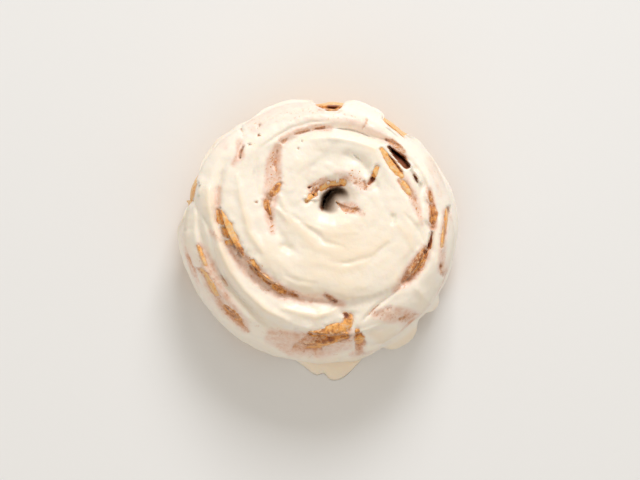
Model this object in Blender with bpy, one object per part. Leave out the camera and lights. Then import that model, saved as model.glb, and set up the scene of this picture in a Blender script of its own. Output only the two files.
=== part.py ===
"""Iced cinnamon roll: one strip of dough rolled up round a sheet of cinnamon filling, under white icing.

The origin is on the flat underside, in the middle of the foot. +Z is up, and -Y is the side where the
icing has run down into a pool. Lengths are in metres. A turn angle is in degrees along the strip from
its inner end: 0 points to -X, and it grows clockwise as seen from above, one full turn for each 360.
"""

import math

import bmesh
import bpy
import numpy as np

# The swirl's middle, off the middle of the foot
SWIRL_X = 0.0065
SWIRL_Y = 0.0122

# Rows of points round the swirl
ROWS_A_TURN = 48
ROW_DEGREES = 360.0 / ROWS_A_TURN
LAST_ROW = 193
OUTER_ROW = LAST_ROW - ROWS_A_TURN

# Outer edge of the strip, as (turn angle, distance from the swirl's middle)
STRIP_EDGE = (
    (0, 0.0061), (45, 0.0155), (90, 0.0192), (135, 0.0184), (180, 0.0184), (270, 0.0224),
    (360, 0.0269), (405, 0.0286), (450, 0.0286), (495, 0.0314), (540, 0.0379), (585, 0.0432),
    (630, 0.0404), (675, 0.0428), (720, 0.0469), (765, 0.0412), (810, 0.0355), (855, 0.0355),
    (900, 0.0428), (945, 0.0522), (990, 0.0551), (1035, 0.0547), (1080, 0.0559), (1125, 0.0465),
    (1170, 0.0394), (1215, 0.0392), (1260, 0.0473), (1305, 0.0575), (1350, 0.0641), (1395, 0.0673),
    (1425, 0.0655), (1440, 0.0595), (1448, 0.0575),
)
# Height of the strip's crown above the foot, as (turn angle, height)
CROWN = (
    (0, 0.0445), (180, 0.0475), (360, 0.0490), (540, 0.0490), (720, 0.0480), (900, 0.0455),
    (1080, 0.0430), (1260, 0.0400), (1350, 0.0385), (1448, 0.0375),
)
VALLEY_DEPTH = 0.0034
SHOULDER_DROP = 0.0085
CROWN_POWER = 2.2
SIDE_BULGE = 0.0042
BULGE_WIDTH = 0.008
BULGE_START = OUTER_ROW * ROW_DEGREES
BULGE_FULL = 1150.0

# The open middle, narrower at the foot
HOLE_TOP = (
    (0, 0.0058), (60, 0.0052), (120, 0.0060), (180, 0.0062), (240, 0.0044), (300, 0.0046), (360, 0.0058),
)
HOLE_FOOT = 0.0012

# The share of the way down where the side is widest
WIDEST = 0.5

# The sheet of filling, and the air to the dough on each side of it
FILLING_THICK = 0.0012
MEET_GAP = 0.0003
FILLING_LOW = 0.0006
FILLING_TOP_DROP = 0.0003
FILLING_ROWS = (2, OUTER_ROW - 1)
# Where the seam has sprung open at the top: turn angle, half its length in degrees, how much wider it is
SPRUNG_SEAM = (503.0, 20.0, 0.0020)

# Points across one turn's crown, from its inner edge to its outer edge
ACROSS = (-1.0, -0.72, -0.36, 0.0, 0.36, 0.72, 1.0)
WALL_STEPS = 4

# Icing
ICING_CLEAR = 0.0004
ICING_SIDE_CLEAR = 0.0009
ICING_THICK = 0.0016
ICING_EDGE = 0.0010
ICING_STEPS = 5
ICING_BEAD = 0.0010
# How much of each seam's valley the icing fills, as (turn angle of the seam, share)
VALLEY_FILL = (
    (0, 0.2), (120, 0.2), (180, 0.9), (300, 0.9), (340, 0.2), (400, 0.2), (600, 0.6), (640, 0.2),
    (720, 0.3), (800, 0.3), (900, 0.4), (1088, 0.3),
)
# Thick puddle of icing on the crowns south of the middle: turn angle, half length, extra depth
PUDDLES = ((270.0, 110.0, 0.0010), (630.0, 90.0, 0.0010))
# Stretches of seam left bare: first and last turn angle, and the bands of points each side
BARE_SEAMS = (
    (342, 405, 1, 1), (486, 549, 1, 1), (558, 594, 1, 0), (648, 720, 1, 1), (801, 819, 1, 1),
    (954, 1008, 0, 2),
)
# Stretch of the hole's rim left bare
BARE_RIM = (0, 180)
# Share of the side that the icing runs down, over 1 where it spreads on the ground, by compass angle
ICING_RUN = (
    (0, 0.24), (8, 0.18), (24, 0.50), (43, 0.20), (62, 0.56), (82, 0.18), (92, 0.14), (108, 0.42),
    (126, 0.18), (142, 0.24), (162, 0.64), (180, 0.54), (198, 0.74), (212, 0.64), (228, 0.94),
    (236, 0.86), (246, 1.06), (255, 0.96), (263, 1.32), (270, 1.46), (278, 1.34), (286, 0.96),
    (302, 0.66), (318, 0.86), (334, 0.64), (350, 0.70), (360, 0.24),
)
POOL_SPREAD = 0.0200
POOL_THICK = 0.0022
# The run from which icing starts to hang clear of the side below its widest part, and where it fully does
HANGS_CLEAR = (0.88, 1.10)


def smooth(x, table):
    """Value at x of the smooth curve through a table of (x, value) pairs."""
    xs = np.array([row[0] for row in table], float)
    ys = np.array([row[1] for row in table], float)
    x = np.clip(np.asarray(x, float), xs[0], xs[-1])
    step = np.diff(xs)
    rise = np.diff(ys) / step
    slope = np.zeros(len(xs))
    same_way = rise[1:] * rise[:-1] > 0
    mean = 2 * rise[1:] * rise[:-1] / np.where(same_way, rise[1:] + rise[:-1], 1)
    slope[1:-1] = np.where(same_way, mean, 0)
    slope[0] = rise[0]
    slope[-1] = rise[-1]
    i = np.clip(np.searchsorted(xs, x, side="right") - 1, 0, len(xs) - 2)
    t = (x - xs[i]) / step[i]
    from_left = ys[i] * (1 + 2 * t) * (1 - t) ** 2 + slope[i] * step[i] * t * (1 - t) ** 2
    from_right = ys[i + 1] * t * t * (3 - 2 * t) - slope[i + 1] * step[i] * t * t * (1 - t)
    return from_left + from_right


def ramp(x, start, end):
    """0 before start, 1 after end, and an easy curve between."""
    t = np.clip((np.asarray(x, float) - start) / (end - start), 0, 1)
    return t * t * (3 - 2 * t)


def hump(x, middle, half):
    """1 at the middle, falling to 0 at half a length each side."""
    return 1 - ramp(abs(x - middle), 0, half)


def place(turn, r, z):
    """Point at a turn angle, a distance from the swirl's middle and a height."""
    a = math.radians(180.0 - turn)
    return (SWIRL_X + r * math.cos(a), SWIRL_Y + r * math.sin(a), z)


def strip_edge(turn):
    return float(smooth(turn, STRIP_EDGE))


def crown(turn):
    return float(smooth(turn, CROWN))


def slot_half(turn, depth):
    """Half the width of the slot that the filling runs in, with depth from 0 at its top to 1 at its foot."""
    middle, half, wider = SPRUNG_SEAM
    sprung = 0.5 * wider * hump(turn, middle, half) * (1.0 - depth)
    return 0.5 * FILLING_THICK + MEET_GAP + sprung


def valley(turn):
    """Height of the dough's edge at the seam on the outer side of the strip."""
    if turn >= BULGE_START:
        return crown(turn) - SHOULDER_DROP
    return min(crown(turn), crown(turn + 360.0)) - VALLEY_DEPTH


def edges(turn, depth=0.0):
    """Inner edge, outer edge and inward bulge of the outer wall, as distances from the swirl's middle."""
    if turn <= 360.0:
        inner = float(smooth(turn, HOLE_TOP)) * (1.0 - depth) + HOLE_FOOT * depth
    else:
        inner = strip_edge(turn - 360.0) + slot_half(turn - 360.0, depth)
    if turn >= BULGE_START:
        outer = strip_edge(turn)
    else:
        outer = strip_edge(turn) - slot_half(turn, depth)
    share = ramp(turn, BULGE_START, BULGE_FULL) * min(1.0, (outer - inner) / BULGE_WIDTH)
    return inner, outer, SIDE_BULGE * share


def crown_point(turn, u):
    """(distance, height) on the crown, with u from -1 at the inner edge to 1 at the outer edge."""
    inner, outer, bulge = edges(turn)
    r = inner + (outer - bulge - inner) * 0.5 * (u + 1.0)
    if u >= 0:
        low = valley(turn)
    elif turn > 360.0:
        low = valley(turn - 360.0)
    else:
        low = crown(turn) - VALLEY_DEPTH
    return r, crown(turn) - (crown(turn) - low) * abs(u) ** CROWN_POWER


def wall_point(turn, q):
    """(distance, height) on the outer wall, with q from 0 at the crown's edge to 1 at the foot."""
    outer, bulge = edges(turn, q)[1:]
    return outer - bulge * (q / WIDEST - 1.0) ** 2, valley(turn) * (1.0 - q)


def strip_section(turn):
    """The strip's outline at a turn angle: over the crown, down the outer wall and back under."""
    points = [crown_point(turn, u) for u in ACROSS]
    points += [wall_point(turn, (i + 1) / WALL_STEPS) for i in range(WALL_STEPS)]
    points.append((edges(turn, 1.0)[0], 0.0))
    return [place(turn, r, z) for r, z in points]


def filling_section(turn):
    """The filling's outline at a turn angle: a thin upright sheet with a ridge along its top."""
    r = strip_edge(turn)
    half = 0.5 * FILLING_THICK
    top = valley(turn) - FILLING_TOP_DROP
    points = (
        (r - half, FILLING_LOW),
        (r - half, top - half),
        (r, top),
        (r + half, top - half),
        (r + half, FILLING_LOW),
    )
    return [place(turn, *point) for point in points]


def strip_mesh(name, sections):
    """A closed mesh through sections of equal count, with a flat face at each end."""
    bm = bmesh.new()
    rows = [[bm.verts.new(point) for point in section] for section in sections]
    count = len(rows[0])
    for near, far in zip(rows, rows[1:]):
        for i in range(count):
            j = (i + 1) % count
            bm.faces.new((near[i], far[i], far[j]))
            bm.faces.new((near[i], far[j], near[j]))
    bm.faces.new(rows[0])
    bm.faces.new(reversed(rows[-1]))
    return finish_mesh(bm, name)


def finish_mesh(bm, name):
    """Turns every face outward and makes the mesh."""
    bmesh.ops.recalc_face_normals(bm, faces=bm.faces)
    mesh = bpy.data.meshes.new(name)
    bm.to_mesh(mesh)
    bm.free()
    return mesh


def add_part(name, mesh, material):
    """Puts a mesh in the scene as one sub-part, shaded smooth but for its sharp edges."""
    mesh.materials.append(material)
    mesh.shade_smooth()
    mesh.set_sharp_from_angle(angle=math.radians(50))
    part = bpy.data.objects.new(name, mesh)
    bpy.context.scene.collection.objects.link(part)
    return part


def make_material(name, colour, roughness):
    material = bpy.data.materials.new(name)
    material.use_nodes = True
    shader = material.node_tree.nodes["Principled BSDF"]
    shader.inputs["Base Color"].default_value = (*colour, 1.0)
    shader.inputs["Roughness"].default_value = roughness
    shader.inputs["Metallic"].default_value = 0.0
    return material


def make_dough():
    """The rolled strip, baked into one piece along its length."""
    sections = [strip_section(row * ROW_DEGREES) for row in range(1, LAST_ROW)]
    material = make_material("baked_dough", (0.62, 0.34, 0.13), 0.62)
    return add_part("dough", strip_mesh("dough", sections), material)


def make_filling():
    """The sheet of cinnamon filling that runs between the turns."""
    first, last = FILLING_ROWS
    sections = [filling_section(row * ROW_DEGREES) for row in range(first, last + 1)]
    material = make_material("cinnamon_paste", (0.16, 0.06, 0.03), 0.40)
    return add_part("cinnamon_filling", strip_mesh("cinnamon_filling", sections), material)


def icing_on_crown(turn, u):
    """Under and top points of the icing over one point of the crown."""
    r, z = crown_point(turn, u)
    low = z + ICING_CLEAR
    thick = ICING_THICK + sum(deep * hump(turn, middle, half) for middle, half, deep in PUDDLES)
    seam = turn if u > 0 else turn - 360.0
    if 0 <= seam < BULGE_START:
        depth = crown(turn) - z
        thick += depth * float(smooth(seam, VALLEY_FILL))
    return place(turn, r, low), place(turn, r, low + thick)


def icing_run(turn):
    return float(smooth(turn % 360.0, ICING_RUN))


def icing_on_side(turn, step):
    """Under and top points of the icing on the outer wall, and on the ground where it has run that far."""
    run = icing_run(turn)
    q = run * step / ICING_STEPS
    on_wall = min(q, 1.0)
    r, z = wall_point(turn, on_wall)
    if q > WIDEST:
        r += (edges(turn)[1] - r) * float(ramp(run, *HANGS_CLEAR))
    r += ICING_SIDE_CLEAR + POOL_SPREAD * max(0.0, q - 1.0)
    last = step == ICING_STEPS
    if q >= 1.0:
        high = ICING_EDGE if last else POOL_THICK
        return place(turn, r, 0.0), place(turn, r + ICING_EDGE, high)
    out = ICING_EDGE if last else ICING_THICK + ICING_BEAD * hump(step, ICING_STEPS - 1, 2)
    lift = out * (WIDEST - on_wall)
    return place(turn, r, z), place(turn, r + out, max(z + lift, ICING_EDGE))


def bare_bands(row, band):
    """True where the icing leaves the dough bare: bands 0 to 5 cross the crown, and 6 crosses the seam."""
    turn = (row + 0.5) * ROW_DEGREES
    last = len(ACROSS) - 1
    if band == 0 and BARE_RIM[0] <= turn <= BARE_RIM[1]:
        return True
    for start, end, inside, outside in BARE_SEAMS:
        if start <= turn <= end and last - inside <= band:
            return True
        if start <= turn - 360.0 <= end and band < outside:
            return True
    return False


def make_icing():
    """One skin of icing over all the turns, open at the bare stretches, with runs down the side."""
    bm = bmesh.new()
    number = bm.verts.layers.int.new("number")
    tops = []

    def add_point(pair):
        under, top = pair
        vert = bm.verts.new(under)
        vert[number] = len(tops)
        tops.append(top)
        return vert

    grid = {}
    last = len(ACROSS) - 1
    for row in range(1, LAST_ROW):
        for i, u in enumerate(ACROSS):
            grid[row, i] = add_point(icing_on_crown(row * ROW_DEGREES, u))
    for i in range(len(ACROSS)):
        grid[0, i] = grid[ROWS_A_TURN, 0]
        grid[LAST_ROW, i] = grid[OUTER_ROW, last]
    rim = list(range(OUTER_ROW, LAST_ROW))
    for row in rim:
        grid[row, "side", 0] = grid[row, last]
        for step in range(1, ICING_STEPS + 1):
            grid[row, "side", step] = add_point(icing_on_side(row * ROW_DEGREES, step))

    def add_quad(a, b, c, d):
        for corners in ((a, b, c), (a, c, d)):
            if len(set(corners)) == len(corners):
                bm.faces.new(corners)

    for row in range(LAST_ROW):
        for i in range(last):
            if not bare_bands(row, i):
                add_quad(grid[row, i], grid[row + 1, i], grid[row + 1, i + 1], grid[row, i + 1])
        if row < OUTER_ROW and not bare_bands(row, last):
            beyond = row + ROWS_A_TURN
            add_quad(grid[row, last], grid[row + 1, last], grid[beyond + 1, 0], grid[beyond, 0])
    for row, after in zip(rim, rim[1:] + rim[:1]):
        for i in range(ICING_STEPS):
            add_quad(
                grid[row, "side", i],
                grid[after, "side", i],
                grid[after, "side", i + 1],
                grid[row, "side", i + 1],
            )
    for vert in [vert for vert in bm.verts if not vert.link_faces]:
        bm.verts.remove(vert)
    grown = bmesh.ops.extrude_face_region(bm, geom=list(bm.faces), use_keep_orig=True)["geom"]
    for vert in grown:
        if isinstance(vert, bmesh.types.BMVert):
            vert.co = tops[vert[number]]
    material = make_material("vanilla_icing", (0.90, 0.82, 0.70), 0.34)
    return add_part("icing", finish_mesh(bm, "icing"), material)


def main():
    for old in list(bpy.data.objects):
        bpy.data.objects.remove(old, do_unlink=True)
    make_dough()
    make_filling()
    make_icing()


main()
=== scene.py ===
"""Looks of an iced cinnamon roll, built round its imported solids: baked dough, cinnamon filling and icing.

The file is laid out as a Blender add-on and is run as a script. Lengths are in metres. A turn angle is in
degrees along the rolled strip from its inner end, 0 towards -X and growing clockwise as seen from above.
"""

import bmesh
import bpy
import numpy as np
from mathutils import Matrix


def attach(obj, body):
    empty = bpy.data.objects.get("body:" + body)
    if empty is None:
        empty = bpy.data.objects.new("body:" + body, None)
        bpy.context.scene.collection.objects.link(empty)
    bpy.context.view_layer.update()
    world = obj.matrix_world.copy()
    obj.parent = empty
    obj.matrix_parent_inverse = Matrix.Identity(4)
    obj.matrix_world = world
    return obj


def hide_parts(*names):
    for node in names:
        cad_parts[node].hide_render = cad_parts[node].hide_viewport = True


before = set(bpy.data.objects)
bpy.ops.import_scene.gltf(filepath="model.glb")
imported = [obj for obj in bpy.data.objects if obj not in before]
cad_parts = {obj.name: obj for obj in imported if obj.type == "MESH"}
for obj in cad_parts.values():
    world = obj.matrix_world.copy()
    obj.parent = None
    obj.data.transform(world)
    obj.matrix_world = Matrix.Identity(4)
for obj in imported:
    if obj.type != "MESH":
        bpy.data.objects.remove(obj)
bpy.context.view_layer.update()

bl_info = {
    "name": "Cinnamon Roll",
    "version": (1, 0, 0),
    "blender": (4, 5, 0),
    "location": "View3D > Sidebar > Cinnamon Roll",
    "description": "Builds an iced cinnamon roll from its strip of dough, its filling and its icing",
    "category": "Add Mesh",
}

# The photograph's scale, and its pixel over the origin
PHOTO_PIXEL = 0.000408
PHOTO_MIDDLE = (319.0, 230.0)
FRAME_WIDE = 640
FRAME_HIGH = 480

# The swirl, as in the part's source
SWIRL_X = 0.0065
SWIRL_Y = 0.0122
FIRST_TURN = 7.5
RIM_START = 1087.5
STRIP_END = 1440.0
STRIP_EDGE = (
    (0, 0.0061), (45, 0.0155), (90, 0.0192), (135, 0.0184), (180, 0.0184), (270, 0.0224),
    (360, 0.0269), (405, 0.0286), (450, 0.0286), (495, 0.0314), (540, 0.0379), (585, 0.0432),
    (630, 0.0404), (675, 0.0428), (720, 0.0469), (765, 0.0416), (810, 0.0370), (855, 0.0366),
    (900, 0.0428), (945, 0.0522), (990, 0.0551), (1035, 0.0547), (1080, 0.0559), (1125, 0.0465),
    (1170, 0.0402), (1215, 0.0396), (1260, 0.0473), (1305, 0.0575), (1350, 0.0641), (1395, 0.0673),
    (1425, 0.0655), (1440, 0.0595), (1448, 0.0575),
)
CROWN = (
    (0, 0.0460), (90, 0.0476), (180, 0.0482), (360, 0.0490), (540, 0.0490), (720, 0.0480), (900, 0.0455),
    (1080, 0.0430), (1260, 0.0400), (1350, 0.0385), (1448, 0.0375),
)
VALLEY_DEPTH = 0.0034
SHOULDER_DROP = 0.0085
CROWN_POWER = 2.2
SIDE_BULGE = 0.0042
BULGE_WIDTH = 0.008
BULGE_FULL = 1150.0
WIDEST = 0.5
HOLE_TOP = (
    (0, 0.0060), (60, 0.0052), (120, 0.0060), (180, 0.0062), (240, 0.0050), (300, 0.0060), (330, 0.0068),
    (360, 0.0060),
)
HOLE_FOOT = 0.0012
SPRUNG_SEAM = (503.0, 20.0, 0.0020)

# How much of each seam's valley the dough has risen into and closed, by the seam's turn angle
BAKED_SHUT = (
    (0, 0.3), (90, 0.2), (180, 0.5), (330, 0.6), (350, 0.5), (450, 0.3), (485, 0.0), (530, 0.0),
    (560, 0.4), (610, 0.3), (640, 0.3), (680, 0.5), (720, 0.6), (960, 0.6), (975, 0.9), (1018, 0.9),
    (1040, 0.6),
    (1088, 0.5),
)
# How much of the rest the icing fills
VALLEY_FILL = (
    (0, 0.5), (25, 0.85), (95, 0.85), (108, 0.45), (132, 0.35), (160, 0.5), (180, 0.8), (300, 0.9),
    (335, 0.2),
    (400, 0.1), (500, 0.1), (560, 0.2), (585, 0.3), (598, 0.9), (615, 0.9), (628, 0.5), (645, 0.15),
    (720, 0.3), (745, 0.9), (900, 0.9), (925, 0.5),
    (940, 0.9), (975, 1.0), (998, 0.6), (1008, 0.05), (1075, 0.05), (1088, 0.1),
)
PUDDLES = ((270.0, 110.0, 0.0007), (630.0, 90.0, 0.0009))
# Share of the side that the icing runs down, over 1 where it spreads on the ground, by compass angle
ICING_RUN = (
    (0, 0.07), (9, 0.08), (16, 0.26), (26, 0.50), (36, 0.34), (42, 0.24), (49, 0.30), (57, 0.48),
    (66, 0.52), (73, 0.36), (77, 0.13), (79, 0.05), (95, 0.05), (97, 0.13), (101, 0.34), (107, 0.50),
    (113, 0.42),
    (118, 0.22), (122, 0.05), (135, 0.05), (138, 0.13), (142, 0.34), (149, 0.52), (162, 0.64), (180, 0.54),
    (198, 0.74), (212, 0.64), (227, 0.98),
    (233, 0.74), (238, 0.96), (245, 0.985), (253, 0.97), (257, 0.99), (262, 1.22), (269.5, 1.48),
    (276.5, 1.35), (280.5, 1.20), (285, 1.04), (288, 0.90), (302, 0.66), (318, 0.86), (334, 0.64),
    (348, 0.50), (354, 0.10), (360, 0.07),
)
# How far the icing stands out from the side, by compass angle
SIDE_DEPTH = (
    (0, 0.0007), (9, 0.0008), (16, 0.0018), (26, 0.0026), (40, 0.0009), (47, 0.0006), (54, 0.0016),
    (63, 0.0018), (77, 0.0006), (96, 0.0008), (105, 0.0007), (119, 0.0006), (142, 0.0006), (151, 0.0013),
    (165, 0.0008), (180, 0.0014), (198, 0.0008),
    (207, 0.0004), (222, 0.0003), (231, 0.0002), (240, 0.0006), (247, 0.0008), (253, 0.0018), (258, 0.0026),
    (266, 0.0030), (277, 0.0024), (287, 0.0022), (300, 0.0015), (320, 0.0008), (345, 0.0005), (351, 0.0012),
    (356, 0.0022), (359, 0.0016), (360, 0.0009),
)
# Drips at the foot of the icing: compass angle, half width in degrees, extra depth
DRIPS = ((226.5, 3.8, 0.0026), (243.5, 7.6, 0.0048), (262.5, 4.0, 0.0008))
# How far the bare side of the dough swells past the strip's edge, by turn angle
SIDE_SWELL = (
    (1078, 0.0), (1080, 0.0042), (1081, 0.0042), (1083, 0.0042), (1089, 0.0032), (1097, 0.0006),
    (1104, 0.0), (1114, 0.0), (1120, 0.0016),
    (1127, 0.0016), (1134, 0.0), (1160, 0.0), (1168, 0.0008), (1182, 0.0008), (1192, 0.0005),
    (1214, 0.0006), (1221, 0.0018),
    (1232, 0.0), (1437, 0.0), (1440, 0.0022),
)
POOL_SPREAD = 0.0200
POOL_THICK = 0.0028
HANGS_CLEAR = (0.88, 1.10)

# Strokes on the top, each as (softness in mm, points as (x, y, half width) in photograph pixels).
# Bare strokes leave the crust or the filling showing.
HOLE_STROKE = (
    0.4,
    ((322.5, 208, 2.6), (324, 202, 2.6), (327, 195.5, 2.8), (331, 191, 2.2), (336.5, 189.5, 1.4), (341, 190, 0.6)),
)
BARE_STROKES = (
    HOLE_STROKE,
    (0.8, ((307, 201, 1.6), (311, 197, 2.2), (317, 192, 2.6), (323, 188, 3), (329, 185.5, 3.4),
        (336, 184, 3.6), (343, 183, 3))),
    (0.4, ((376.5, 168, 1.6), (374.5, 174, 2), (371.5, 181, 1.8), (368.5, 184.5, 1.2))),
    (0.8, ((279, 185, 1.4), (276, 190, 3), (272, 194, 2))),
    (0.8, ((266, 203, 1.6), (268, 208, 2.6), (270, 213, 1.2))),
    (0.5, ((388.5, 147.5, 1.2), (395, 153.5, 3.2), (401.2, 159.5, 4.6), (405.5, 165.5, 3.4))),
    (0.5, ((381, 150, 1.2), (386, 157.5, 2.8), (392.5, 166, 3.8), (398, 172.5, 3.4), (401, 176.5, 1.6))),
    (0.3, ((413.4, 175.4, 0.3), (415, 178.6, 0.9), (416.5, 182, 0.5))),
    (0.6, ((402.5, 183.5, 1.6), (405, 188, 2.2), (408.5, 193.5, 1.4))),
    (0.6, ((429.5, 193, 1), (430.5, 200, 1.2))),
    (0.9, ((431, 209, 1.8), (432.5, 214, 3.2), (431.5, 220, 2.4))),
    (0.4, ((431.5, 233, 0.6), (430, 240, 1), (428, 247, 1.6))),
    (1, ((425, 250, 1.8), (421, 257, 4), (416.5, 265, 3.8), (412, 271, 1.6))),
    (0.8, ((219.5, 212, 2.6), (222.5, 219, 4.4), (227, 226, 4.8), (231, 234, 5.4), (234, 241, 4),
        (229, 242, 3))),
    (0.9, ((238, 245, 1.8), (241.5, 251, 2), (243, 255, 0.8))),
    (0.9, ((253, 261, 1.8), (256, 268, 2.6), (258, 271, 1.4))),
    (0.9, ((261, 275, 1.8), (266, 279, 2.4), (271, 283, 1.4))),
    (0.9, ((275, 286.5, 2.2), (280, 289, 3), (284, 291, 1.4))),
    (1, ((345, 314, 2.2), (349, 318, 3.2), (348, 324, 3.2))),
    (1.1, ((310, 333, 1.8), (320, 333, 3), (330, 329, 4.2), (341, 327, 4.4))),
    (1.1, ((302, 346, 1.8), (312, 347, 3), (322, 343, 4), (334, 338, 2.6), (346, 335, 1.8))),
    (0.7, ((357, 331, 1.6), (360, 338, 3.8), (360, 344, 3.4))),
    (0.5, ((312, 99, 1), (319, 103, 3.4), (328, 106.5, 4.6), (336, 106.5, 4.2), (341, 102.5, 2.8),
        (345, 100, 1))),
    (0.8, ((199, 247, 0.9), (202, 255, 1.3), (205.5, 264, 0.9))),
    (0.9, ((201, 269, 1.1), (206, 275, 1.2), (211, 284, 1.8), (217, 295, 1.4))),
    (1, ((224, 305, 1.2), (230, 311, 2.8), (237, 318, 2.8), (242, 324, 1.2))),
    (0.5, ((446.5, 210, 0.9), (445, 220, 1.2), (443, 232, 1.2), (441, 246, 0.7))),
    (0.5, ((197.2, 178, 1.5), (192.2, 193.3, 3.2), (189.5, 204, 1.8))),
    (0.5, ((242, 122, 1), (250, 116.5, 1.2), (257, 112, 1))),
    (0.5, ((384, 119.5, 0.8), (390, 123.5, 2.2), (398, 129.5, 2.8), (406, 136, 2.2), (411, 139.5, 0.8))),
)
# Stained strokes: icing so thin that the crust shows through in crumbs
STAIN_STROKES = (
    (0.8, ((336.5, 203, 0.8), (341, 206, 1.8), (345, 209, 3.4), (350, 211, 3.2), (354, 210, 2.6),
        (357.5, 210, 2))),
    (0.8, ((354.5, 184, 1.6), (356, 183, 1))),
    (0.8, ((363.5, 182, 1.3), (365, 187, 1.5), (365, 190, 1.4))),
    (1, ((309, 188, 1.4), (318, 184, 0.8))),
    (0.8, ((277.5, 152, 1.4), (276.5, 158, 1.6), (275, 165, 2), (277, 172, 1.2))),
    (0.9, ((281, 184, 2), (277, 190, 4), (270, 197, 3.4), (267, 206, 3.8), (270, 215, 2))),
    (0.8, ((271, 218, 1.2), (272, 224, 1))),
    (0.7, ((283, 143, 2.2), (286, 140.5, 1.6))),
    (0.7, ((295, 135, 1.2), (302, 133, 1.6), (309, 131, 1.4))),
    (0.7, ((315, 129.5, 1), (324, 128, 1.6))),
    (0.6, ((302, 142, 0.9),)),
    (0.6, ((298.5, 149.5, 1.1),)),
    (0.9, ((259, 126, 2),)),
    (0.4, ((259, 136, 1.4),)),
    (0.4, ((250, 145.5, 1.2),)),
    (0.8, ((244, 147, 0.9), (241.5, 153, 1.6), (240.5, 159, 1))),
    (0.8, ((243.5, 130, 0.7), (243.5, 136, 0.8))),
    (0.4, ((257, 202.5, 1.3),)),
    (0.8, ((366.5, 120.5, 1.6), (366, 124, 1.4), (363, 128, 1.2))),
    (1.2, ((386, 140, 1.8), (391, 143, 3.4), (398, 147.5, 3.4), (403.5, 152.5, 1.8))),
    (1, ((399, 181, 3), (405, 188, 4), (411, 196, 3), (415, 202, 1.6))),
    (1, ((429, 191, 1.4), (430.5, 201, 2.2), (433, 214, 4.8), (432, 228, 2))),
    (1.2, ((425, 250, 4), (418, 262, 7), (409, 274, 5), (402, 281, 2.4))),
    (1, ((236, 243, 3.4), (243, 255, 3))),
    (1.1, ((246, 256, 1.6), (254, 266, 3.8), (262, 275, 4), (272, 283, 3.8), (282, 290, 4.2), (291, 293, 2.6),
        (297, 295.5, 1.8))),
    (1, ((325, 293.5, 1.4), (330, 297, 2.8), (336, 301, 2))),
    (1.4, ((296, 345, 3), (312, 341, 8), (330, 335, 9), (344, 328, 7), (349, 318, 5))),
    (1, ((356, 328, 1.6), (360, 340, 6), (359, 347, 3.6))),
    (1.2, ((399, 319, 2), (406, 317.5, 3), (414, 314, 2.2))),
    (1, ((386, 308, 1), (391, 307, 1.2))),
    (0.8, ((368, 315, 0.7), (373, 309, 1), (378, 305, 0.9))),
    (1, ((198, 246, 2), (203, 257, 3), (207, 266, 2))),
    (1, ((200, 268, 2.2), (208, 278, 3), (215, 292, 3.2), (222, 302, 2))),
    (1.2, ((222, 304, 2.2), (232, 313, 5), (241, 323, 3.6), (250, 330, 1.6))),
    (1, ((221, 275, 1), (225, 281, 1.6), (228, 286, 1))),
    (1.2, ((186, 253, 1.4), (191, 259, 2.6), (196, 270, 2))),
    (0.8, ((359, 354, 0.9), (372, 350, 1.2), (388, 347, 1))),
    (0.8, ((362, 350, 0.7), (376, 354, 0.9))),
    (1.2, ((440, 265, 2), (441, 274, 2))),
    (0.8, ((447, 208, 1.8), (445, 224, 2), (442, 246, 1.4))),
)
# Wide stains that show only in crumbs here and there
SPARSE_STROKES = (
    (3, ((277, 150, 3), (275, 164, 5), (277, 178, 5), (272, 196, 7), (268, 210, 6), (271, 222, 3))),
    (3, ((284, 142, 3), (298, 134, 3.4), (314, 129, 3.4), (328, 129, 2.4))),
    (3, ((338, 204, 2.4), (348, 208, 5), (358, 211, 4))),
    (3, ((308, 189, 3), (322, 183, 3.6), (344, 178, 4), (358, 183, 5), (366, 188, 4))),
    (3, ((386, 139, 4), (394, 146, 6), (402, 152, 4))),
    (3, ((402, 184, 4), (412, 198, 5), (418, 214, 3))),
    (3, ((429, 192, 3), (432, 212, 6), (432, 230, 3))),
    (3, ((426, 250, 5), (416, 265, 8), (404, 280, 5))),
    (3, ((232, 246, 5), (244, 262, 7), (260, 277, 7), (282, 291, 6), (298, 296, 4))),
    (3, ((324, 294, 3), (336, 301, 4))),
    (3.5, ((284, 338, 6), (300, 340, 9), (326, 338, 12), (346, 328, 10), (350, 316, 6))),
    (3, ((250, 322, 3), (268, 332, 4), (284, 346, 4))),
    (3, ((376, 314, 4), (390, 314, 7), (408, 316, 6), (416, 314, 3))),
    (3, ((200, 250, 4), (208, 268, 7), (216, 290, 7), (230, 310, 7), (246, 326, 5))),
    (3, ((190, 256, 3), (196, 272, 3))),
    (3, ((344, 352, 3), (372, 351, 4), (392, 347, 2))),
    (2.4, ((219, 190, 2), (219, 208, 3))),
)
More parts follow.
